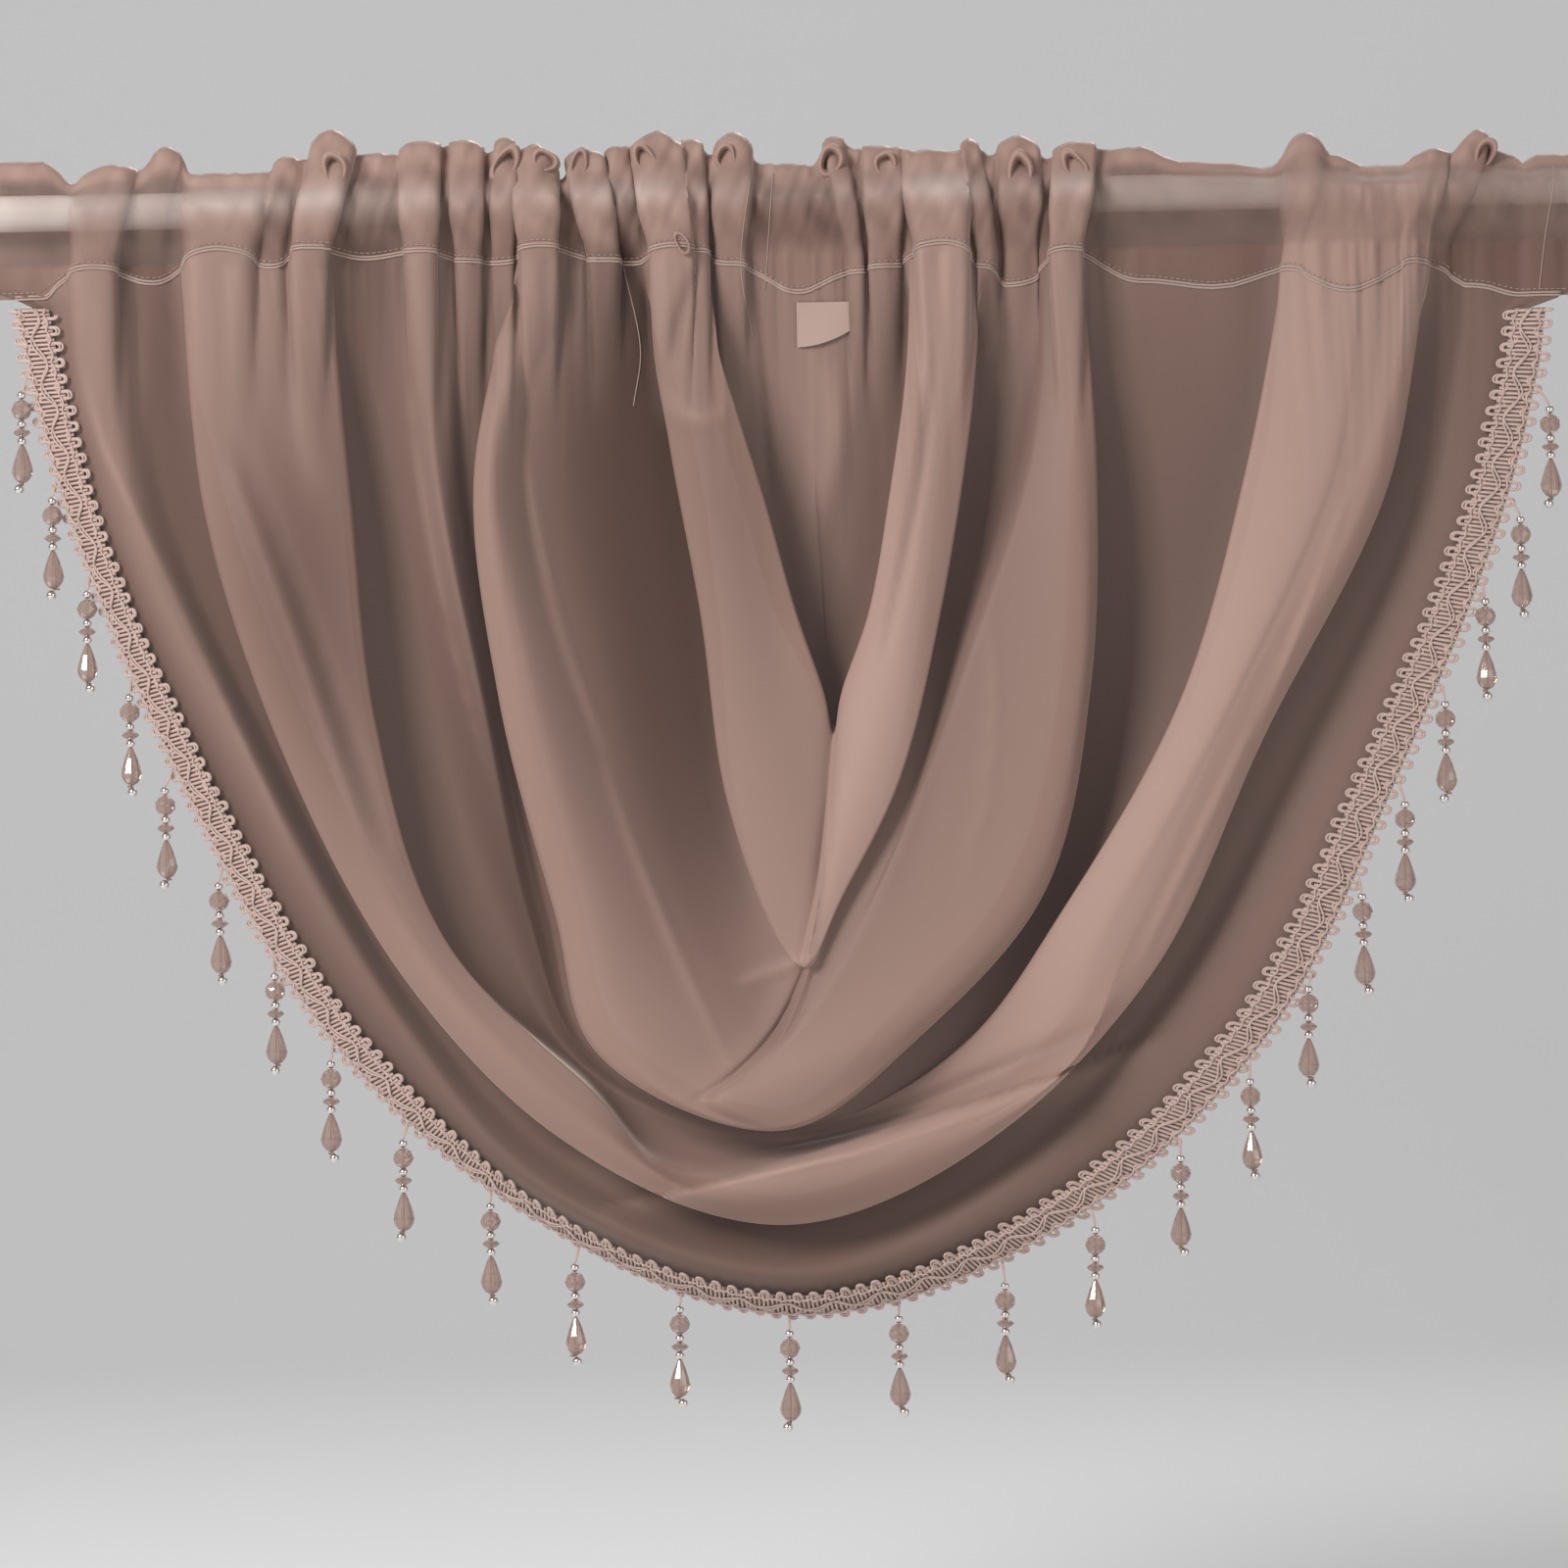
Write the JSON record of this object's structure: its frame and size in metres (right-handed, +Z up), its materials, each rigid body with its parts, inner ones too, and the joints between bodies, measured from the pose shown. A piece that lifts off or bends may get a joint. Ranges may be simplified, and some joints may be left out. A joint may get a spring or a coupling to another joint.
{
  "type": "voile swag valance on curtain rod",
  "caption": "Sheer voile swag gathered on a plain rod, its folds hanging in nested curves above a braided, beaded lower edge.",
  "frame": {"origin": "on the rod's axis, at the middle of the cloth's width", "axes": "+X along the rod to the viewer's right, -Y out of the wall towards the room, +Z up"},
  "size_m": [0.65, 0.0459, 0.5031],
  "materials": {
    "rod_white": "white gloss paint",
    "voile": "sheer fine plain weave, dusty brown pink",
    "braid": "looped satin cord braid, dusty brown pink",
    "label": "blank woven tape, dusty pink",
    "bead_clear": "faceted, see-through, brown pink",
    "bead_silver": "polished silver"
  },
  "bodies": {
    "root": {"curtain_rod": "rod_white", "valance_cloth": "voile", "braid_trim": "braid", "care_label": "label", "bead_drop_01": "bead_clear", "bead_drop_02": "bead_clear", "bead_drop_03": "bead_clear", "bead_drop_04": "bead_clear", "bead_drop_05": "bead_clear", "bead_drop_06": "bead_clear", "bead_drop_07": "bead_clear", "bead_drop_08": "bead_clear", "bead_drop_09": "bead_clear", "bead_drop_10": "bead_clear", "bead_drop_11": "bead_clear", "bead_drop_12": "bead_clear", "bead_drop_13": "bead_clear", "bead_drop_14": "bead_clear", "bead_drop_15": "bead_clear", "bead_drop_16": "bead_clear", "bead_drop_17": "bead_clear", "bead_drop_18": "bead_clear", "bead_drop_19": "bead_clear", "bead_drop_20": "bead_clear", "bead_drop_21": "bead_clear", "bead_drop_22": "bead_clear", "bead_drop_23": "bead_clear", "bead_drop_24": "bead_clear", "bead_drop_25": "bead_clear"}
  },
  "joints": []
}
